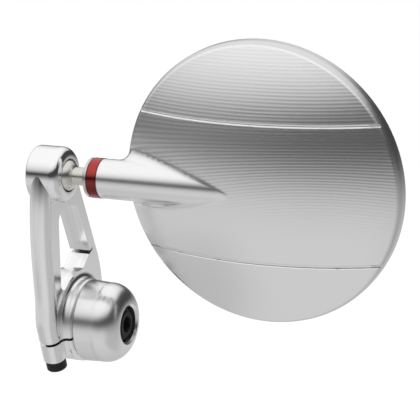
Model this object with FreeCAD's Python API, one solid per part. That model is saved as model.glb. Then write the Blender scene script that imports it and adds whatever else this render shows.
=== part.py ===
import FreeCAD, Part
import math
import os

# Bar-end motorcycle mirror, millimetres.
# X runs outboard along the handlebar, -Y faces the front of the bike, Z runs up the arm.
# The origin is on the bar axis, at the middle of the arm's thickness.

# Fits
running_fit = 0.05
ball_fit = 0.08
face_gap = 0.1
screw_clearance = 0.2

# Bar-end adapter
neck_radius = 9.0
neck_inboard_length = 5.2
thread_radius = 4.05
thread_depth = 6.0
thread_relief_radius = 4.7
thread_relief_length = 1.4
spigot_radius = 7.5
spigot_length = 2.4

# Bar-end cap
cap_back_x = 8.0
cap_length = 14.3
cap_back_radius = 14.0
cap_taper = 3.0
cap_straight_length = 6.0
cap_hole_radius = 6.3
cap_hole_chamfer = 0.7
cap_web = 3.0

# Cap bolt
bolt_head_length = 8.0
bolt_shank_radius = 4.0
bolt_face_radius = 4.2
bolt_bevel_length = 1.5
hex_socket_width = 5.0
hex_socket_depth = 4.0
hex_lead = 0.45

# Arm
arm_width = 7.7
ring_radius = 14.0
collar_face_x = 7.7
collar_radius = 14.3
collar_lip_round = 1.6
collar_root_round = 2.0
leg_top_angle = 8.5
leg_top_inset = 0.03
leg_bow_radius = 120.0
leg_lean = 7.0
leg_foot_y = -20.9
leg_foot_radius = 30.0
leg_front_flat = 0.7
leg_bend_radius = 12.0
rear_lean = 26.0
rear_leg_thickness = 4.9
rear_bend_z = 21.3
rear_bend_radius = 37.0
rear_edge_round = 0.8

# Window between the legs
window_floor_radius = 17.3
window_web = 2.3
window_front_reach = 2.6
window_front_lean = 1.5
window_corner = 2.0
window_top_corner = 4.5
tab_foot_y = 1.7
tab_top_z = 22.2
slit_width = 0.9
slit_depth = 2.2

# Clamp lug and screw
gap_y = -14.8
gap_z = -3.9
gap_width = 1.0
screw_lean = 20.0
lug_height = 7.45
lug_half_depth = 3.85
clamp_screw_radius = 2.0
clamp_screw_length = 15.0
clamp_head_radius = 3.5
clamp_head_length = 3.8
clamp_hex_width = 3.0
clamp_hex_depth = 2.0

# Socket head
head_y = -12.6
head_z = 53.0
head_radius = 9.45
head_back_x = -4.7
head_face_x = 7.1
head_face_round = 3.2
head_back_round = 0.8
rear_set_back = 0.15

# Ball joint
ball_radius = 5.7
ball_set_in = 2.5
liner_thickness = 0.35
liner_band_angle = 8.0
plug_thickness = 1.5
plug_slot_width = 1.4
plug_slot_depth = 0.7
cup_radius = 3.9
cup_length = 3.4

# Ball stud
stud_neck_radius = 3.0
flange_radius = 6.6
flange_start_x = 13.1
flange_rim = 1.0
shank_radius = 2.5

# Accent ring and stem
accent_start_x = 16.4
accent_width = 3.75
accent_radius = 6.7
accent_edge_round = 0.3
stem_radius = 6.6
shank_depth = 7.0

# Mirror disc, measured in the frame of the stem axis
disc_radius = 47.0
disc_center_x = 73.2
disc_center_up = 0.45
rim_plane_y = 4.6
rim_thickness = 4.2
rim_round = 3.0
dome_height = 11.4
dome_wall = 3.0
mirror_lean = 6.5
stem_blend = 4.0
groove_ball_radius = 0.8
groove_depth = 0.4
groove_up = 22.8
groove_down = 23.3

# Glass
glass_radius = 44.5
glass_thickness = 2.0
glass_edge_gap = 0.2
glass_set_back = 0.3
pad_thickness = 0.6
pad_width = 2.5

# Derived places
half_width = arm_width / 2
ball_seat_radius = ball_radius + ball_fit
liner_radius = ball_seat_radius + liner_thickness
socket_radius = liner_radius + ball_fit
ball_x = head_face_x - ball_set_in
stem_start_x = accent_start_x + accent_width
cap_front_x = cap_back_x + cap_length
cap_recess_end_x = cap_back_x + spigot_length + face_gap
cap_seat_x = cap_recess_end_x + cap_web
bolt_head_radius = cap_hole_radius - screw_clearance
x_axis = FreeCAD.Vector(1, 0, 0)


def point(x, y, z):
    return FreeCAD.Vector(x, y, z)


def rod(radius, start_x, end_x, y=0.0, z=0.0):
    return Part.makeCylinder(radius, end_x - start_x, point(start_x, y, z), x_axis)


def turned(edges, y=0.0, z=0.0):
    """Solid of revolution about the X axis from edges drawn in the X-Z plane."""
    face = Part.Face(Part.Wire(edges))
    solid = face.revolve(point(0, 0, 0), x_axis, 360)
    solid.translate(point(0, y, z))
    return solid


def line(a, b):
    return Part.LineSegment(a, b).toShape()


def arc(a, middle, b):
    return Part.Arc(a, middle, b).toShape()


def polyline(points):
    return [line(a, b) for a, b in zip(points, points[1:])]


def loop(points):
    return polyline(points + points[:1])


def prism(edges, length):
    return Part.Face(Part.Wire(edges)).extrude(point(length, 0, 0))


def hexagon_socket(width, depth, mouth, direction):
    """Hexagonal pocket cut inwards from its mouth."""
    corner = width / math.sqrt(3)
    corners = []
    for step in range(6):
        angle = math.radians(60 * step)
        corners.append(point(corner * math.cos(angle), corner * math.sin(angle), 0))
    pocket = Part.Face(Part.Wire(loop(corners))).extrude(point(0, 0, depth))
    pocket.Placement = FreeCAD.Placement(mouth, FreeCAD.Rotation(point(0, 0, 1), direction))
    return pocket


def bar_end_adapter():
    spigot_end_x = cap_back_x + spigot_length
    body = rod(neck_radius, -neck_inboard_length, cap_back_x)
    body = body.fuse(rod(spigot_radius, cap_back_x, spigot_end_x))
    body = body.cut(rod(thread_radius, -neck_inboard_length, spigot_end_x))
    relief_x = thread_depth - neck_inboard_length
    body = body.cut(rod(thread_relief_radius, relief_x, relief_x + thread_relief_length))
    return body.removeSplitter()


def bar_end_cap():
    straight_x = cap_back_x + cap_straight_length
    straight_radius = cap_back_radius - cap_straight_length * math.tan(math.radians(cap_taper))
    rim_radius = cap_hole_radius + cap_hole_chamfer
    rim = point(cap_front_x, 0, rim_radius)
    shoulder = point(straight_x, 0, straight_radius)
    dome_x = cap_front_x - straight_x
    dome_r = straight_radius - rim_radius
    half = math.sqrt(0.5)
    middle = point(straight_x + dome_x * half, 0, rim_radius + dome_r * half)
    edges = polyline([point(cap_back_x, 0, 0), point(cap_back_x, 0, cap_back_radius), shoulder])
    edges.append(arc(shoulder, middle, rim))
    edges += polyline([rim, point(cap_front_x, 0, 0), point(cap_back_x, 0, 0)])
    cap = turned(edges)
    cap = cap.cut(rod(spigot_radius + running_fit, cap_back_x, cap_recess_end_x))
    cap = cap.cut(rod(bolt_shank_radius + screw_clearance, cap_back_x, cap_front_x))
    cap = cap.cut(rod(cap_hole_radius, cap_seat_x, cap_front_x))
    chamfer = Part.makeCone(cap_hole_radius, rim_radius, cap_hole_chamfer,
                            point(cap_front_x - cap_hole_chamfer, 0, 0), x_axis)
    return cap.cut(chamfer)


def cap_bolt():
    head_end_x = cap_seat_x + bolt_head_length
    bevel_x = head_end_x - bolt_bevel_length
    shank_start_x = thread_depth - neck_inboard_length + thread_relief_length
    mouth = point(head_end_x, 0, 0)
    corner = hex_socket_width / math.sqrt(3)
    bolt = rod(bolt_head_radius, cap_seat_x, bevel_x)
    bolt = bolt.fuse(Part.makeCone(bolt_head_radius, bolt_face_radius, bolt_bevel_length,
                                   point(bevel_x, 0, 0), x_axis))
    bolt = bolt.fuse(rod(bolt_shank_radius, shank_start_x, cap_seat_x))
    bolt = bolt.cut(hexagon_socket(hex_socket_width, hex_socket_depth, mouth, point(-1, 0, 0)))
    lead = Part.makeCone(corner, corner - hex_lead, hex_lead, mouth, point(-1, 0, 0))
    return bolt.cut(lead).removeSplitter()


# Screw frame: down runs along the clamp screw to its head, inward runs to the bar
screw_down = point(0, math.sin(math.radians(screw_lean)), -math.cos(math.radians(screw_lean)))
screw_inward = point(0, math.cos(math.radians(screw_lean)), math.sin(math.radians(screw_lean)))
gap_center = point(0, gap_y, gap_z)
screw_seat = gap_center + screw_down * lug_height

# Rear leg frame
rear_up = point(0, -math.sin(math.radians(rear_lean)), math.cos(math.radians(rear_lean)))
rear_out = point(0, math.cos(math.radians(rear_lean)), math.sin(math.radians(rear_lean)))
head_center = point(0, head_y, head_z)
rear_top = head_center + rear_out * (head_radius - rear_set_back)


def on_rear_line(z, inset=0.0):
    """Point of the rear leg's outer line at a height, moved in by an inset."""
    start = rear_top - rear_out * inset
    return start + rear_up * ((z - start.z) / rear_up.z)


def shifted(edges, x):
    return [edge.translated(point(x, 0, 0)) for edge in edges]


def corner_arc(before, corner, after, radius):
    """Arc that rounds the corner between two straight runs."""
    back = (before - corner).normalize()
    ahead = (after - corner).normalize()
    half_angle = back.getAngle(ahead) / 2
    reach = radius / math.tan(half_angle)
    inside = (back + ahead).normalize()
    center = corner + inside * (radius / math.sin(half_angle))
    return arc(corner + back * reach, center - inside * radius, corner + ahead * reach)


def front_way(angle):
    """Direction to the front, raised by an angle in degrees."""
    return point(0, -math.cos(math.radians(angle)), math.sin(math.radians(angle)))


def front_outline():
    """Front leg's bow from the head, its foot, and the lug's front line down to the screw seat."""
    reach = head_radius - leg_top_inset
    leg_top = head_center + front_way(leg_top_angle) * reach
    bow_center = leg_top - front_way(leg_top_angle) * leg_bow_radius
    bow_middle = bow_center + front_way((leg_top_angle - leg_lean) / 2) * leg_bow_radius
    bow_end = bow_center + front_way(-leg_lean) * leg_bow_radius
    foot_drop = (leg_foot_y - bow_end.y) / math.tan(math.radians(leg_lean))
    foot = point(0, leg_foot_y, bow_end.z - foot_drop)
    lug_top = gap_center - screw_inward * lug_half_depth
    lug_bottom = screw_seat - screw_inward * lug_half_depth
    lug_start = lug_top + screw_down * ((leg_foot_y - lug_top.y) / screw_down.y)
    foot_arc = corner_arc(bow_end, foot, lug_start, leg_foot_radius)
    lug_arc = corner_arc(foot, lug_start, lug_bottom, leg_bend_radius)
    return [arc(leg_top, bow_middle, bow_end), line(bow_end, first_point(foot_arc)), foot_arc,
            line(end_point(foot_arc), first_point(lug_arc)), lug_arc, line(end_point(lug_arc), lug_bottom)]


def rear_outline():
    """Rear edge of the arm: ring, swell behind the ring, then the rear leg's outer line."""
    bend_top = on_rear_line(rear_bend_z)
    bend_center = bend_top - rear_out * rear_bend_radius
    bend_foot = bend_center + point(0, rear_bend_radius, 0)
    half_turn = math.radians(rear_lean / 2)
    bend_middle = bend_center + point(0, math.cos(half_turn), math.sin(half_turn)) * rear_bend_radius
    swell = (bend_foot.y ** 2 + bend_foot.z ** 2 - ring_radius ** 2) / (2 * (bend_foot.y - ring_radius))
    swell_center = bend_foot - point(0, swell, 0)
    ring_way = (swell_center * -1).normalize()
    ring_touch = ring_way * ring_radius
    swell_way = (ring_way + point(0, 1, 0)).normalize()
    swell_middle = swell_center + swell_way * swell
    return [arc(ring_touch, swell_middle, bend_foot),
            arc(bend_foot, bend_middle, bend_top),
            line(bend_top, rear_top)]


def first_point(edge):
    return edge.valueAt(edge.FirstParameter)


def end_point(edge):
    return edge.valueAt(edge.LastParameter)


def arm_outline():
    front = front_outline()
    rear = rear_outline()
    lug_back = screw_seat + screw_inward * lug_half_depth
    bottom = polyline([end_point(front[-1]), lug_back, point(0, 0, 0), first_point(rear[0])])
    top = [line(rear_top, first_point(front[0]))]
    return front + bottom + rear + top


def arm_plate():
    plate = prism(shifted(arm_outline(), -half_width), arm_width)
    plate = plate.makeFillet(half_width - leg_front_flat / 2, side_edges(plate, front_outline()))
    return plate.makeFillet(rear_edge_round, side_edges(plate, rear_outline()[1:]))


def middle_of(edge):
    return edge.valueAt((edge.FirstParameter + edge.LastParameter) / 2)


def side_edges(plate, outline):
    """Edges of the plate's two sides that run along an outline."""
    spots = []
    for edge in outline:
        spots.append(middle_of(edge) + point(half_width, 0, 0))
        spots.append(middle_of(edge) - point(half_width, 0, 0))
    return [edge for edge in plate.Edges
            if any(middle_of(edge).distanceToPoint(spot) < 1e-3 for spot in spots)]


def arm_window():
    top_z = head_z - head_radius - window_web
    front_slope = math.tan(math.radians(window_front_lean))
    front_foot_y = head_y - window_front_reach + head_z * front_slope
    front_foot = point(0, front_foot_y, math.sqrt(window_floor_radius ** 2 - front_foot_y ** 2))
    front_top = point(0, front_foot_y - top_z * front_slope, top_z)
    back_top = on_rear_line(top_z, rear_leg_thickness)
    tab_top = on_rear_line(tab_top_z, rear_leg_thickness)
    tab_foot = point(0, tab_foot_y, math.sqrt(window_floor_radius ** 2 - tab_foot_y ** 2))
    floor_way = (front_foot + tab_foot).normalize()
    edges = polyline([front_foot, front_top, back_top, tab_top, tab_foot])
    edges.append(arc(tab_foot, floor_way * window_floor_radius, front_foot))
    opening = prism(shifted(edges, -arm_width), 2 * arm_width)
    opening = opening.makeFillet(window_top_corner, edges_through(opening, [front_top, back_top]))
    return opening.makeFillet(window_corner, edges_through(opening, [front_foot, tab_foot]))


def edges_through(solid, spots):
    """Edges across the arm's width whose middle is at one of the spots."""
    return [edge for edge in solid.Edges
            if any(edge.CenterOfMass.distanceToPoint(spot) < 1e-3 for spot in spots)]


def slab(center, along, across, length, thickness):
    """Plate that runs through the arm's width from a centre along a direction."""
    half = across * (thickness / 2)
    end = center + along * length
    edges = loop([center + half, end + half, end - half, center - half])
    return prism(shifted(edges, -2 * half_width), 8 * half_width)


def clamp_collar():
    root_x = half_width
    root_top = collar_radius + collar_root_round
    half = math.sqrt(0.5)
    fillet_end = point(root_x + collar_root_round, 0, collar_radius)
    fillet_middle = point(root_x + collar_root_round * (1 - half), 0, root_top - collar_root_round * half)
    lip_start = point(collar_face_x - collar_lip_round, 0, collar_radius)
    lip_middle = point(collar_face_x - collar_lip_round * (1 - half), 0,
                       collar_radius - collar_lip_round * (1 - half))
    lip_end = point(collar_face_x, 0, collar_radius - collar_lip_round)
    edges = polyline([point(0, 0, 0), point(0, 0, root_top), point(root_x, 0, root_top)])
    edges.append(arc(point(root_x, 0, root_top), fillet_middle, fillet_end))
    edges.append(line(fillet_end, lip_start))
    edges.append(arc(lip_start, lip_middle, lip_end))
    edges += polyline([lip_end, point(collar_face_x, 0, 0), point(0, 0, 0)])
    within = prism(arm_outline(), collar_face_x).fuse(rod(collar_radius, 0, collar_face_x))
    return turned(edges).common(within)


def socket_head():
    head = rod(head_radius, head_back_x, head_face_x, head_y, head_z)
    face_rim = [edge for edge in head.Edges if abs(edge.CenterOfMass.x - head_face_x) < 1e-6]
    back_rim = [edge for edge in head.Edges if abs(edge.CenterOfMass.x - head_back_x) < 1e-6]
    head = head.makeFillet(head_face_round, face_rim)
    back_rim = [edge for edge in head.Edges if abs(edge.CenterOfMass.x - head_back_x) < 1e-6]
    return head.makeFillet(head_back_round, back_rim)


def arm():
    body = arm_plate()
    body = body.fuse(rod(ring_radius, -half_width, half_width))
    body = body.fuse(clamp_collar())
    body = body.fuse(socket_head())
    body = body.cut(arm_window())
    body = body.cut(rod(neck_radius + running_fit, -2 * half_width, collar_face_x + 1))
    body = body.cut(slab(gap_center - screw_inward * 3 * lug_half_depth, screw_inward, screw_down,
                         3 * lug_half_depth + abs(gap_y) - neck_radius + half_width, gap_width))
    slit_start = on_rear_line(tab_top_z, rear_leg_thickness) - rear_out
    slit = slab(slit_start, rear_out, rear_up, slit_depth + 1, slit_width)
    body = body.cut(slit)
    ball_center = point(ball_x, head_y, head_z)
    body = body.cut(Part.makeSphere(socket_radius, ball_center))
    body = body.cut(rod(socket_radius, head_back_x, ball_x, head_y, head_z))
    hole = Part.makeCylinder(clamp_screw_radius + screw_clearance, clamp_screw_length,
                             screw_seat, screw_down * -1)
    spot_face = Part.makeCylinder(clamp_head_radius + screw_clearance, 3 * clamp_head_length,
                                  screw_seat, screw_down)
    body = body.cut(hole)
    body = body.cut(spot_face)
    return body.removeSplitter()


def clamp_screw():
    head = Part.makeCylinder(clamp_head_radius, clamp_head_length, screw_seat, screw_down)
    shank = Part.makeCylinder(clamp_screw_radius, clamp_screw_length - face_gap, screw_seat, screw_down * -1)
    mouth = screw_seat + screw_down * clamp_head_length
    return head.fuse(shank).cut(hexagon_socket(clamp_hex_width, clamp_hex_depth, mouth, screw_down * -1))


def socket_plug():
    plug = rod(socket_radius - running_fit, head_back_x, head_back_x + plug_thickness, head_y, head_z)
    slot = Part.makeBox(plug_slot_depth, 4 * socket_radius, plug_slot_width,
                        point(head_back_x, head_y - 2 * socket_radius, head_z - plug_slot_width / 2))
    return plug.cut(slot)


def ball_cup():
    start_x = head_back_x + plug_thickness
    cup = rod(cup_radius, start_x, start_x + cup_length, head_y, head_z)
    return cup.cut(Part.makeSphere(ball_seat_radius, point(ball_x, head_y, head_z)))


def ball_liner():
    band = math.radians(liner_band_angle)
    ways = [point(math.sin(angle), 0, math.cos(angle)) for angle in (-band, 0, band)]
    outer = [way * liner_radius for way in ways]
    inner = [way * ball_seat_radius for way in ways]
    edges = [arc(*outer), line(outer[2], inner[2]), arc(*inner), line(inner[0], outer[0])]
    ring = turned(edges)
    ring.translate(point(ball_x, head_y, head_z))
    return ring


def ball_stud():
    ball = Part.makeSphere(ball_radius, point(ball_x, head_y, head_z))
    flange_end_x = accent_start_x - face_gap
    shank_end_x = stem_start_x + shank_depth
    edges = loop([point(ball_x, 0, 0), point(ball_x, 0, stud_neck_radius),
                  point(flange_start_x, 0, stud_neck_radius),
                  point(flange_end_x - flange_rim, 0, flange_radius),
                  point(flange_end_x, 0, flange_radius), point(flange_end_x, 0, shank_radius),
                  point(shank_end_x, 0, shank_radius), point(shank_end_x, 0, 0)])
    return ball.fuse(turned(edges, head_y, head_z)).removeSplitter()


def leaned(shape):
    """Moves a shape from the stem's own frame to its place, with the mirror's lean."""
    lean = FreeCAD.Rotation(x_axis, mirror_lean)
    shape.Placement = FreeCAD.Placement(point(0, head_y, head_z), lean).multiply(shape.Placement)
    return shape


def accent_ring():
    ring = rod(accent_radius, accent_start_x, stem_start_x)
    rims = [edge for edge in ring.Edges if edge.Curve.TypeId == "Part::GeomCircle"]
    ring = ring.makeFillet(accent_edge_round, rims)
    return leaned(ring.cut(rod(shank_radius + running_fit, accent_start_x, stem_start_x)))


def dome_sphere_radius():
    return (disc_radius ** 2 + dome_height ** 2) / (2 * dome_height)


def disc_point(out, back):
    """Point of the disc's section, out from its middle and back from the rim plane."""
    return point(disc_center_x + out, rim_plane_y + back, disc_center_up)


def dome_ball(inset):
    """Sphere of the dome, made smaller by an inset."""
    radius = dome_sphere_radius()
    return Part.makeSphere(radius - inset, disc_point(0, radius - dome_height))


def puck(radius, front, back):
    """Round plate of the disc between two depths behind the rim plane."""
    return Part.makeCylinder(radius, back - front, disc_point(0, front), point(0, 1, 0))


def disc_blank(deep):
    """Dome with its rounded rim, turned about the disc's axis."""
    radius = dome_sphere_radius()
    sphere_center = disc_point(0, radius - dome_height)
    round_out = disc_radius - rim_round
    round_rise = math.sqrt((radius - rim_round) ** 2 - round_out ** 2)
    round_center = sphere_center + point(round_out, -round_rise, 0)
    dome_way = (round_center - sphere_center).normalize()
    apex_way = point(0, -1, 0)
    dome_middle = sphere_center + (dome_way + apex_way).normalize() * radius
    dome_end = sphere_center + dome_way * radius
    round_middle = round_center + (dome_way + x_axis).normalize() * rim_round
    rim_start = round_center + x_axis * rim_round
    apex = disc_point(0, -dome_height)
    edges = [arc(apex, dome_middle, dome_end), arc(dome_end, round_middle, rim_start)]
    edges += polyline([rim_start, disc_point(disc_radius, deep), disc_point(0, deep), apex])
    return Part.Face(Part.Wire(edges)).revolve(disc_point(0, 0), point(0, 1, 0), 360)


def disc_with_stem():
    """Dome and rim with the round stem blended into them, cut off at the back of the rim."""
    deep = rim_thickness + 2 * stem_blend
    disc = disc_blank(deep)
    stem = rod(stem_radius, stem_start_x, disc_center_x)
    stem.rotate(point(0, 0, 0), x_axis, -90)
    body = disc.fuse(stem)
    body = body.makeFillet(stem_blend, [edge for edge in body.Edges if joins_stem(edge)])
    return body.cut(puck(2 * disc_radius, rim_thickness, 2 * deep))


def joins_stem(edge):
    """Whether a curved edge beyond the stem's end face lies on the stem's surface."""
    if edge.Degenerated or edge.Curve.TypeId == "Part::GeomLine":
        return False
    if middle_of(edge).x < stem_start_x + face_gap:
        return False
    span = edge.LastParameter - edge.FirstParameter
    spots = [edge.valueAt(edge.FirstParameter + span * share) for share in (0.2, 0.5, 0.8)]
    return all(abs(math.hypot(spot.y, spot.z) - stem_radius) < 1e-3 for spot in spots)


def disc_pocket():
    """Hollow behind the glass: a ledge for the glass and a bowl that follows the dome."""
    ledge = rim_thickness - glass_set_back - glass_thickness - pad_thickness
    bowl = puck(glass_radius - pad_width, -2 * dome_height, rim_thickness).common(dome_ball(dome_wall))
    return bowl.fuse(puck(glass_radius + glass_edge_gap, ledge, rim_thickness))


def dome_groove(height):
    """Ball-milled groove straight across the dome, at a height above the disc's middle."""
    radius = dome_sphere_radius()
    path_radius = math.sqrt((radius + groove_ball_radius - groove_depth) ** 2 - height ** 2)
    center = disc_point(0, radius - dome_height) + point(0, 0, height)
    return Part.makeTorus(path_radius, groove_ball_radius, center, point(0, 0, 1))


def mirror_body():
    body = disc_with_stem()
    body = body.cut(dome_groove(groove_up))
    body = body.cut(dome_groove(-groove_down))
    body = body.cut(disc_pocket())
    bore_end_x = stem_start_x + shank_depth + face_gap
    return leaned(body.cut(rod(shank_radius + running_fit, stem_start_x, bore_end_x)))


def mirror_glass():
    back = rim_thickness - glass_set_back
    return leaned(puck(glass_radius, back - glass_thickness, back))


def glass_pad():
    back = rim_thickness - glass_set_back - glass_thickness
    pad = puck(glass_radius, back - pad_thickness, back)
    return leaned(pad.cut(puck(glass_radius - pad_width, back - pad_thickness, back)))


builders = [bar_end_adapter, bar_end_cap, cap_bolt, arm, clamp_screw, socket_plug, ball_cup,
            ball_liner, ball_stud, accent_ring, mirror_body, mirror_glass, glass_pad]

os.makedirs("parts", exist_ok=True)
for builder in builders:
    shape = builder()
    name = builder.__name__
    print(name, shape.ShapeType, len(shape.Solids), shape.isValid(), round(shape.Volume, 2))
    shape.exportStep("parts/" + name + ".step")
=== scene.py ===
import math
import bmesh
import bpy
from mathutils import Matrix, Vector


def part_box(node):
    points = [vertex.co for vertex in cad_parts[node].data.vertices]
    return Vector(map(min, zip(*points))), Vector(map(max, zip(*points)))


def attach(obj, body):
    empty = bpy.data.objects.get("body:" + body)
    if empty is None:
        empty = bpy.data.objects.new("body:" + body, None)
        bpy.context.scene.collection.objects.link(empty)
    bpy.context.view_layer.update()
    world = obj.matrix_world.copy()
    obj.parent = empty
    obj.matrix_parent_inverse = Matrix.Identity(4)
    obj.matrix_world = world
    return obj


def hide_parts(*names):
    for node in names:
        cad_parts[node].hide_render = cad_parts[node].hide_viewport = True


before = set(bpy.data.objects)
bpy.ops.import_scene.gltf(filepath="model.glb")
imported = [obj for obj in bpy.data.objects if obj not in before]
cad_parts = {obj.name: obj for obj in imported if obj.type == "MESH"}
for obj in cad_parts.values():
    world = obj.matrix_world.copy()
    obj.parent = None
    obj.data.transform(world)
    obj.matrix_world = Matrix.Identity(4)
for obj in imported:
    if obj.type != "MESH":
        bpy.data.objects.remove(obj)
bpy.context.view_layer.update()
print("frame:", len(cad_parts), "nodes")

mm = 0.001


class Wire:  # one output of a node; arithmetic on it adds Math nodes
    def __init__(self, finish, socket):
        self.finish = finish
        self.socket = socket

    def math(self, operation, first, second=0.0):
        return self.finish.node("ShaderNodeMath", {"operation": operation}, {0: first, 1: second})

    def __add__(self, other): return self.math("ADD", self, other)
    def __radd__(self, other): return self.math("ADD", other, self)
    def __sub__(self, other): return self.math("SUBTRACT", self, other)
    def __rsub__(self, other): return self.math("SUBTRACT", other, self)
    def __mul__(self, other): return self.math("MULTIPLY", self, other)
    def __truediv__(self, other): return self.math("DIVIDE", self, other)
    def __pow__(self, other): return self.math("POWER", self, other)
    def __abs__(self): return self.math("ABSOLUTE", self)


class Finish:  # one material and its nodes
    def __init__(self, name):
        self.material = bpy.data.materials.new(name)
        self.material.use_nodes = True
        self.tree = self.material.node_tree
        self.tree.nodes.clear()

    def node(self, kind, settings=None, inputs=None, output=0):
        made = self.tree.nodes.new(kind)
        for key, value in (settings or {}).items():
            setattr(made, key, value)
        for key, value in (inputs or {}).items():
            if isinstance(value, Wire):
                self.tree.links.new(value.socket, made.inputs[key])
            else:
                made.inputs[key].default_value = value
        return Wire(self, made.outputs[output])

    def place(self, origin=(0, 0, 0), turn=(0, 0, 0)):  # Object coordinates from an origin, in millimetres
        raw = self.node("ShaderNodeTexCoord", output="Object")
        return self.node("ShaderNodeMapping", {"vector_type": "TEXTURE"},
                         {"Vector": raw, "Location": [c * mm for c in origin],
                          "Rotation": [math.radians(c) for c in turn], "Scale": (mm, mm, mm)})

    def axes(self, vector):
        split = self.node("ShaderNodeSeparateXYZ", None, {0: vector})
        return [Wire(self, output) for output in split.socket.node.outputs]

    def step(self, value, low, high):  # smooth 0 to 1 between two values
        return self.node("ShaderNodeMapRange", {"interpolation_type": "SMOOTHSTEP"},
                         {0: value, 1: low, 2: high, 3: 0.0, 4: 1.0})

    def ramp(self, value, stops):  # greys at places from 0 to 1
        made = self.node("ShaderNodeValToRGB", None, {0: value})
        elements = made.socket.node.color_ramp.elements
        while len(elements) < len(stops):
            elements.new(0.5)
        for element, (place, grey) in zip(elements, stops):
            element.position = place
            element.color = (grey, grey, grey, 1)
        return made

    def noise(self, vector, scale, detail):
        return self.node("ShaderNodeTexNoise", None, {"Vector": vector, "Scale": scale, "Detail": detail})

    def stretch(self, vector, factors):
        return self.node("ShaderNodeVectorMath", {"operation": "MULTIPLY"}, {0: vector, 1: factors})

    def streaks(self, vector, factors):  # noise drawn out along an axis or round it
        return self.noise(self.stretch(vector, factors), 1.0, 2.0)

    def vary(self, middle, pattern, amount):  # a value moved up and down by a pattern
        return middle + (pattern - 0.5) * amount

    def masked(self, base, *others):  # a base value, and other values where their masks are 1
        return sum((mask * (value - base) for mask, value in others), base)

    def mix(self, factor, first, second):  # of two colours
        return self.node("ShaderNodeMix", {"data_type": "RGBA"}, {0: factor, 6: first, 7: second}, output=2)

    def bump(self, height, distance, strength=1.0, over=None):  # over is the normal that it starts from
        inputs = {"Height": height, "Distance": distance * mm, "Strength": strength}
        if over:
            inputs["Normal"] = over
        return self.node("ShaderNodeBump", None, inputs)

    def close(self, shader):
        out = self.tree.nodes.new("ShaderNodeOutputMaterial")
        self.tree.links.new(shader.socket, out.inputs["Surface"])
        return self.material

    def surface(self, values):
        return self.close(self.node("ShaderNodeBsdfPrincipled", None, values))


def dress(node, material):
    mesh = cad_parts[node].data
    mesh.materials.clear()
    mesh.materials.append(material)


def toMesh(name, bm):
    mesh = bpy.data.meshes.new(name)
    bm.to_mesh(mesh)
    bm.free()
    return mesh


def stand(name, data):
    thing = bpy.data.objects.new(name, data)
    bpy.context.scene.collection.objects.link(thing)
    return thing


copyRules = {"mergeReach": 0.002 * mm, "sharpest": math.radians(24)}  # a steeper edge stays sharp


def evenCopy(node, body, material):  # the node's mesh merged, its normals weighted by the size of the faces
    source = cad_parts[node]
    sharpest = copyRules["sharpest"]
    bm = bmesh.new()
    bm.from_mesh(source.data)
    bm.transform(source.matrix_world)
    bmesh.ops.remove_doubles(bm, verts=bm.verts, dist=copyRules["mergeReach"])
    bmesh.ops.recalc_face_normals(bm, faces=bm.faces)
    for edge in bm.edges:
        edge.smooth = len(edge.link_faces) == 2 and edge.calc_face_angle() < sharpest
    areas = [face.calc_area() for face in bm.faces]
    bm.faces.index_update()
    normals = []
    for face in bm.faces:
        face.smooth = True
        for loop in face.loops:
            near = [other for other in loop.vert.link_faces
                    if face.normal.dot(other.normal) > math.cos(sharpest)]
            total = sum((other.normal * areas[other.index] for other in near), Vector())
            normals.append(total.normalized())
    mesh = toMesh(node + "Skin", bm)
    if "custom_normal" in mesh.attributes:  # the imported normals, which come along with the copy
        mesh.attributes.remove(mesh.attributes["custom_normal"])
    mesh.normals_split_custom_set(normals)
    mesh.materials.append(material)
    piece = stand(node + "Skin", mesh)
    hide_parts(node)
    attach(piece, body)
    dress(node, material)


aluminium = (0.91, 0.91, 0.915, 1)

# mirror body: milled dome, polished stem, duller rim; measured from the ball's centre along the leaning disc
mirrorFinish = {
    "origin": (0, -12.6, 53.0),         # ball centre on the stem axis
    "lean": 6.5,                        # degrees
    "discX": 73.2,
    "discUp": 0.45,
    "discRadius": 47.0,
    "domeHeight": 11.4,
    "domeEdge": (0.05, 0.2),            # how far off the sphere the dome's finish ends
    "rimPlane": 4.6,
    "rimBand": (43.0, 44.5),
    "rimX": (29.2, 39.2),               # keeps the rim's tone off the stem
    "rimTone": (0.74, 0.74, 0.745, 1),
    "tilt": 0.07,                       # the dome's shine sits a little higher than its shape
    "millPitch": 1.08,
    "millHeight": 0.0048,
    "millLeast": 0.35,
    "archX": 95.2,                      # where the cutter's paths are highest
    "archSpan": 24.0,
    "archRise": 6.5,
    "archShift": 4.0,
    "archZ": (-4.0, 28.0),              # the paths are straight above this
    "driftScale": (0.03, 0.03, 0.25),
    "driftShift": 0.7,
    "fineAlong": 0.03,
    "fineAcross": 1.9,
    "fineDetail": 3.0,
    "fineHeight": 1.6,
    "linesLow": (-6.0, 12.0),
    "linesHigh": (24.0, 38.0),
    "linesFade": 0.75,
    "linesLeftX": (41.2, 61.2),         # the lines are clearest at the left
    "linesRight": 0.62,
    "linesSpan": 0.9,
    "dull": (0.86, 0.86, 0.865, 1),
    "bright": (0.98, 0.98, 0.985, 1),
    "domeRoughness": 0.26,
    "polishedRoughness": 0.24,
    "rimRoughness": 0.32,
    "spread": 0.05,
}


def discSpan(x, z, p):  # distance from the disc's axis
    return ((x - p["discX"]) ** 2 + (z - p["discUp"]) ** 2) ** 0.5


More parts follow.
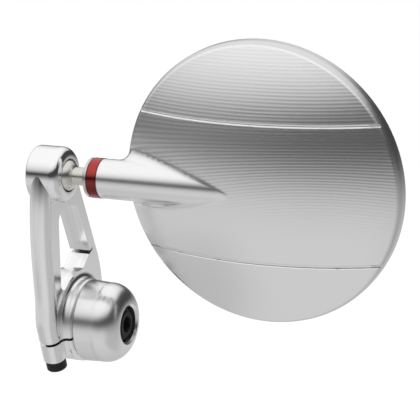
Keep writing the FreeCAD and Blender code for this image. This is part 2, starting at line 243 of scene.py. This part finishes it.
def milledMirror(p):
    f = Finish("milledMirror")
    spot = f.place(p["origin"], (p["lean"], 0, 0))
    x, _, z = f.axes(spot)
    domeRadius = (p["discRadius"] ** 2 + p["domeHeight"] ** 2) / (2 * p["domeHeight"])
    domeCenter = (p["discX"], p["rimPlane"] - p["domeHeight"] + domeRadius, p["discUp"])
    out = f.node("ShaderNodeVectorMath", {"operation": "DISTANCE"}, {0: spot, 1: domeCenter}, output="Value")
    dome = 1 - f.step(abs(out - domeRadius), *p["domeEdge"])
    rim = f.step(discSpan(x, z, p), *p["rimBand"]) * (1 - dome) * f.step(x, *p["rimX"])

    across = (x - p["archX"]) / p["archSpan"]
    sag = across.math("LOGARITHM", across.math("COSH", across), math.e)
    path = z + (1 - f.step(z, *p["archZ"])) * (sag * p["archRise"] - p["archShift"])
    drift = f.streaks(spot, p["driftScale"])
    turn = (path + drift * p["driftShift"]) * (math.tau / p["millPitch"])
    wave = turn.math("SINE", turn) * (p["millLeast"] + drift)
    along = f.node("ShaderNodeCombineXYZ", None, {0: x * p["fineAlong"], 1: 0.0, 2: path * p["fineAcross"]})
    fine = f.noise(along, 1.0, p["fineDetail"])

    left = 1 - f.step(x, *p["linesLeftX"])
    lined = (f.step(z, *p["linesLow"]) * (1 - f.step(z, *p["linesHigh"]) * p["linesFade"])
             * (p["linesRight"] + left * (1 - p["linesRight"])))
    lines = f.step(wave + fine - 0.5, -p["linesSpan"], p["linesSpan"])
    milled = f.mix(f.vary(0.5, lines, dome * lined), p["dull"], p["bright"])
    rough = f.masked(p["polishedRoughness"], (dome, p["domeRoughness"]), (rim, p["rimRoughness"]))
    shine = f.bump(z * -p["tilt"], 1.0, dome)
    return f.surface({"Base Color": f.mix(rim, milled, p["rimTone"]), "Metallic": 1.0,
                      "Roughness": f.vary(rough, fine, p["spread"]),
                      "Normal": f.bump(wave + fine * p["fineHeight"], p["millHeight"], dome, shine)})


evenCopy("mirror_body", "mirror", milledMirror(mirrorFinish))
print("mirror body finished")

# arm: polished head, duller collar and head underside, satin legs with lengthwise polishing marks
armFinish = {
    "satin": 0.17,
    "polished": 0.1,
    "collar": 0.33,
    "under": 0.4,
    "spread": 0.08,
    "headFoot": (45.0, 53.0),
    "collarX": (4.2, 5.2),
    "collarTop": (16.0, 18.0),
    "underX": (3.8, 4.4),
    "underFoot": (20.0, 22.0),
    "underTop": (44.5, 49.0),
    "noseHalf": (3.2, 3.8),
    "noseY": (-20.0, -19.0),
    "bow": 0.12,                        # the leg's shine runs down faster than its shape
    "bowEnd": 45.5,
    "bowSpan": 10.0,
    "marks": 0.0025,
    "marksScale": (0.9, 0.0, 0.012),
    "marksTone": (0.3, 0.7),
    "headSmooth": 0.8,
    "dull": (0.90, 0.90, 0.905, 1),
    "bright": (0.98, 0.98, 0.985, 1),
}


def satinBillet(p):
    f = Finish("satinBillet")
    spot = f.place()
    x, y, z = f.axes(spot)
    head = f.step(z, *p["headFoot"])
    collar = f.step(x, *p["collarX"]) * (1 - f.step(z, *p["collarTop"]))
    under = f.step(x, *p["underX"]) * (1 - f.step(z, *p["underTop"])) * f.step(z, *p["underFoot"])
    rough = f.masked(p["satin"], (head, p["polished"]), (collar, p["collar"]), (under, p["under"]))
    nose = (1 - f.step(abs(x), *p["noseHalf"])) * (1 - f.step(y, *p["noseY"]))
    sink = f.node("ShaderNodeMath", {"operation": "SMOOTH_MIN"}, {0: z, 1: p["bowEnd"], 2: p["bowSpan"]})
    bowed = f.bump(sink * p["bow"], 1.0, nose)
    marks = f.streaks(spot, p["marksScale"])
    tone = f.vary(0.5, f.step(marks, *p["marksTone"]), 1 - head)
    return f.surface({"Base Color": f.mix(tone, p["dull"], p["bright"]), "Metallic": 1.0,
                      "Roughness": f.vary(rough, marks, p["spread"]),
                      "Normal": f.bump(marks, p["marks"], 1 - head * p["headSmooth"], bowed)})


dress("arm", satinBillet(armFinish))

# cap, adapter and plug: turned and polished; the cap is painted darker towards its bottom, which is painted shade
# low is painted shade on the cap's lower part; the adapter's low is plain aluminium
capFinish = {"roughness": 0.25, "spread": 0.05, "rings": (4.0, 0.02, 0.02), "marks": 0.0006,
             "low": (0.72, 0.72, 0.725, 1), "paintedShadeZ": (-13.5, -4.0)}
adapterFinish = {**capFinish, "roughness": 0.22, "rings": (1 / 0.3, 0.02, 0.02), "marks": 0.003, "low": aluminium}


def turnedBar(name, p):
    f = Finish(name)
    spot = f.place()
    z = f.axes(spot)[2]
    rings = f.streaks(spot, p["rings"])
    # the low colour on the lower part is painted shade
    return f.surface({"Base Color": f.mix(f.step(z, *p["paintedShadeZ"]), p["low"], aluminium), "Metallic": 1.0,
                      "Roughness": f.vary(p["roughness"], rings, p["spread"]),
                      "Normal": f.bump(rings, p["marks"])})


dress("bar_end_cap", turnedBar("polishedCap", capFinish))
turned = turnedBar("turnedAdapter", adapterFinish)
dress("bar_end_adapter", turned)
dress("socket_plug", turned)

# ball stud: warm steel, with the flange painted a darker grey, which is painted shade
studFinish = {"steel": (0.72, 0.71, 0.66, 1), "flange": (0.66, 0.67, 0.66, 1), "flangeX": (12.9, 13.2),
              "roughness": 0.22, "spread": 0.06, "rings": (3.0, 0.05, 0.05), "marks": 0.002}


def studSteel(p):
    f = Finish("studSteel")
    spot = f.place()
    x = f.axes(spot)[0]
    rings = f.streaks(spot, p["rings"])
    # the flange colour is painted shade
    return f.surface({"Base Color": f.mix(f.step(x, *p["flangeX"]), p["steel"], p["flange"]), "Metallic": 1.0,
                      "Roughness": p["roughness"] + rings * p["spread"], "Normal": f.bump(rings, p["marks"])})


dress("ball_stud", studSteel(studFinish))

# accent ring: red anodised, with painted shade on its lower half and along both edges
ringFinish = {
    "red": (0.48, 0.056, 0.048, 1),
    "deep": (0.41, 0.046, 0.040, 1),
    "shade": (0.20, 0.026, 0.024, 1),   # painted shade: the lower half is painted darker
    "shadeZ": (51.0, 56.0),
    # edge: painted shade along both edges of the ring, standing in for the chamfers' shading
    "edge": (0.13, 0.02, 0.018, 1),
    "shadedEdgeWidth": (0.1, 0.5),
    "roughness": 0.14,
    "spread": 0.08,
    "coat": 0.25,
    "coatRoughness": 0.1,
    "rings": (4.0, 0.05, 0.05),
    "marks": 0.002,
}


def redAnodised(p):
    f = Finish("redAnodised")
    spot = f.place()
    x, _, z = f.axes(spot)
    rings = f.streaks(spot, p["rings"])
    low, high = [corner[0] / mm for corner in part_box("accent_ring")]
    # painted shade: darker near both edges
    edge = 1 - f.step(x.math("MINIMUM", x - low, high - x), *p["shadedEdgeWidth"])
    # painted shade: the colour below shadeZ darkens the ring's lower half
    redWithPaintedShade = f.mix(1 - f.step(z, *p["shadeZ"]), f.mix(rings, p["red"], p["deep"]), p["shade"])
    return f.surface({"Base Color": f.mix(edge, redWithPaintedShade, p["edge"]), "Metallic": 1.0,
                      "Roughness": p["roughness"] + rings * p["spread"],
                      "Coat Weight": p["coat"], "Coat Roughness": p["coatRoughness"],
                      "Normal": f.bump(rings, p["marks"])})


dress("accent_ring", redAnodised(ringFinish))


def grained(name, p):  # two tones and a fine relief from one noise
    f = Finish(name)
    grain = f.noise(f.place(), p["scale"], p["detail"])
    return f.surface({"Base Color": f.mix(grain, *p["tones"]), "Roughness": p["roughness"] + grain * p["spread"],
                      "Specular IOR Level": p["specular"], "Normal": f.bump(grain, p["relief"])})


# screws: black oxide
screwFinish = {"tones": ((0.003, 0.003, 0.003, 1), (0.009, 0.009, 0.009, 1)), "scale": 1.6, "detail": 4.0,
               "roughness": 0.4, "spread": 0.15, "specular": 0.25, "relief": 0.006}
oxide = grained("blackOxide", screwFinish)
dress("cap_bolt", oxide)
dress("clamp_screw", oxide)

# liner and cup: pale moulded plastic
linerFinish = {"tones": ((0.62, 0.61, 0.57, 1), (0.72, 0.71, 0.68, 1)), "scale": 2.5, "detail": 3.0,
               "roughness": 0.45, "spread": 0.0, "specular": 0.5, "relief": 0.01}
moulded = grained("linerPlastic", linerFinish)
dress("ball_liner", moulded)
dress("ball_cup", moulded)

# glass: silvered, with a dark edge where the coating stops
glassFinish = {"silver": (0.90, 0.92, 0.93, 1), "edge": (0.10, 0.13, 0.13, 1), "edgeSpan": (44.0, 44.25),
               "roughness": 0.015, "spread": 0.02, "smearScale": 0.06, "smearDetail": 4.0}


def mirrorGlass(p, m):
    f = Finish("mirrorGlass")
    spot = f.place(m["origin"], (m["lean"], 0, 0))
    x, _, z = f.axes(spot)
    edge = f.step(discSpan(x, z, m), *p["edgeSpan"])
    smear = f.noise(spot, p["smearScale"], p["smearDetail"])
    return f.surface({"Base Color": f.mix(edge, p["silver"], p["edge"]), "Metallic": 1 - edge,
                      "Roughness": p["roughness"] + smear * p["spread"]})


dress("mirror_glass", mirrorGlass(glassFinish, mirrorFinish))

# glass pad: black foam
padFinish = {"tones": ((0.015, 0.015, 0.016, 1), (0.04, 0.04, 0.042, 1)), "scale": 3.0, "detail": 4.0,
             "roughness": 0.9, "spread": 0.0, "specular": 0.5, "relief": 0.08}
dress("glass_pad", grained("padFoam", padFinish))
print("finishes:", len(bpy.data.materials))

# studio: pale floor, a soft light tent that only reflections see, two soft lamps
floorLook = {
    "height": -136 * mm,                # below the mirror when the arm hangs down
    "size": 12.0,
    "matt": (0.86, 0.86, 0.86, 1),
    "white": (1, 1, 1, 1),
    "glow": 1.05,
    "whiteShare": 0.9,                  # of the floor that the camera sees
}


def studioFloor(p):
    bm = bmesh.new()
    bmesh.ops.create_grid(bm, x_segments=2, y_segments=2, size=p["size"],
                          matrix=Matrix.Translation((0, 0, p["height"])))
    mesh = toMesh("floor", bm)
    floor = stand("floor", mesh)
    f = Finish("paleFloor")
    seen = f.node("ShaderNodeLightPath", output="Is Camera Ray")
    matt = f.node("ShaderNodeBsdfDiffuse", None, {"Color": p["matt"]})
    white = f.node("ShaderNodeEmission", None, {"Color": p["white"], "Strength": p["glow"]})
    both = f.node("ShaderNodeMixShader", None, {0: seen * p["whiteShare"], 1: matt, 2: white})
    mesh.materials.append(f.close(both))
    floor.visible_glossy = False


tentLook = {
    "middle": (50 * mm, 0.0),
    "radius": 1.2,
    "low": -1.37,
    "high": 1.71,
    "segments": 96,
    "levels": 350,                      # levels in one radius of height
    "split": 50.0,                      # level of the dark band, which keeps its place
    "sideStart": 0.39,                  # side is 0 straight opposite the camera
    "sideMost": 0.43,
    "upperSide": 65,
    "lowerSide": 25,
    "rightWay": (0.866, 0.5),
    "rightSpan": (0.5, 0.95),
    "upperRight": 110,
    "lowest": -400,
    "span": 900,
    "glows": [(-400, 0.66), (-250, 0.68), (-150, 0.66), (-100, 0.63), (-70, 0.58), (-48, 0.48), (-15, 0.31),
              (5, 0.21), (25, 0.09), (45, 0.05), (70, 0.06), (90, 0.19), (115, 0.41), (140, 0.58),
              (165, 0.69), (208, 0.79), (250, 0.88), (330, 0.95), (430, 1.0)],   # level and grey
    "edgeX": (0.5, 0.95),               # dimmer at the right, low down
    "edgeLevel": (-60.0, 25.0),
    "edgeDim": 0.3,
    "footX": (-0.8, -0.4),              # dimmer at the left foot
    "footLevel": (-260.0, -140.0),
    "footDim": 0.25,
    "dimmed": (0.1, 0.1, 0.1, 1),
}


def lightTent(p):
    bm = bmesh.new()
    center = Matrix.Translation((*p["middle"], (p["low"] + p["high"]) / 2))
    bmesh.ops.create_cone(bm, cap_ends=True, segments=p["segments"], radius1=p["radius"],
                          radius2=p["radius"], depth=p["high"] - p["low"], matrix=center)
    mesh = toMesh("lightTent", bm)
    tent = stand("lightTent", mesh)
    f = Finish("tentLight")
    x, y, z = f.axes(f.place((p["middle"][0] / mm, 0, 0)))
    radius = p["radius"] / mm
    across = x / radius
    side = across + p["sideStart"]
    rightX, rightY = p["rightWay"]
    right = f.step((x * rightX + y * rightY) / radius, *p["rightSpan"])
    level = z * (p["levels"] / radius)
    raised = level - side * p["upperSide"] - right * p["upperRight"]
    upper = level.math("MAXIMUM", raised, p["split"])
    lower = level.math("MINIMUM", level + side.math("MINIMUM", side, p["sideMost"]) * p["lowerSide"], p["split"])
    stops = [((h - p["lowest"]) / p["span"], grey) for h, grey in p["glows"]]
    glow = f.ramp((upper + lower - (p["split"] + p["lowest"])) / p["span"], stops)
    edge = f.step(across, *p["edgeX"]) * (1 - f.step(level, *p["edgeLevel"]))
    foot = (1 - f.step(across, *p["footX"])) * (1 - f.step(level, *p["footLevel"]))
    light = f.mix(edge * p["edgeDim"] + foot * p["footDim"], glow, p["dimmed"])
    mesh.materials.append(f.close(f.node("ShaderNodeEmission", None, {"Color": light, "Strength": 1.0})))
    tent.visible_camera = False
    tent.visible_diffuse = False
    tent.visible_shadow = False


lamps = {
    "overhead": {"place": (-0.2, -0.3, 1.2), "size": 1.2, "power": 18},
    "front": {"place": (0.7, -1.0, 0.8), "size": 0.9, "power": 8},
}
lampTarget = (0.05, 0, 0.03)


def softLamp(name, p):
    lamp = bpy.data.lights.new(name, "AREA")
    lamp.shape = "DISK"
    lamp.size = p["size"]
    lamp.energy = p["power"]
    holder = stand(name, lamp)
    holder.location = p["place"]
    holder.rotation_euler = (Vector(lampTarget) - Vector(p["place"])).to_track_quat("-Z", "Y").to_euler()
    holder.visible_glossy = False


skyLook = {"color": (1, 1, 1, 1), "light": 0.55, "cameraExtra": 0.5}  # together white to the camera


def whiteSky(p):
    world = bpy.data.worlds.new("studio")
    bpy.context.scene.world = world
    world.use_nodes = True
    nodes, links = world.node_tree.nodes, world.node_tree.links
    background = nodes["Background"]
    background.inputs["Color"].default_value = p["color"]
    rays = nodes.new("ShaderNodeLightPath")
    strength = nodes.new("ShaderNodeMath")
    strength.operation = "MULTIPLY_ADD"
    strength.inputs[1].default_value = p["cameraExtra"]
    strength.inputs[2].default_value = p["light"]
    links.new(rays.outputs["Is Camera Ray"], strength.inputs[0])
    links.new(strength.outputs[0], background.inputs["Strength"])


studioFloor(floorLook)
lightTent(tentLook)
for lampName, lampLook in lamps.items():
    softLamp(lampName, lampLook)
whiteSky(skyLook)
print("studio ready")

# camera at the photograph's angle
camera = {"azimuth": 23.34, "elevation": 12.37, "distance": 0.560, "lens": 143.78, "sensor": 36, "clip": 0.01,
          "target": (49.469 * mm, 6.729 * mm, 41.067 * mm)}


def placeCamera(p):
    a, e = math.radians(p["azimuth"]), math.radians(p["elevation"])
    back = Vector((math.sin(a) * math.cos(e), -math.cos(a) * math.cos(e), math.sin(e)))
    data = bpy.data.cameras.new("camera")
    data.lens = p["lens"]
    data.sensor_width = p["sensor"]
    data.clip_start = p["clip"]
    holder = stand("camera", data)
    holder.location = Vector(p["target"]) + back * p["distance"]
    holder.rotation_euler = (-back).to_track_quat("-Z", "Y").to_euler()
    bpy.context.scene.camera = holder


placeCamera(camera)
bpy.context.scene.view_settings.view_transform = "Standard"
print("camera placed")
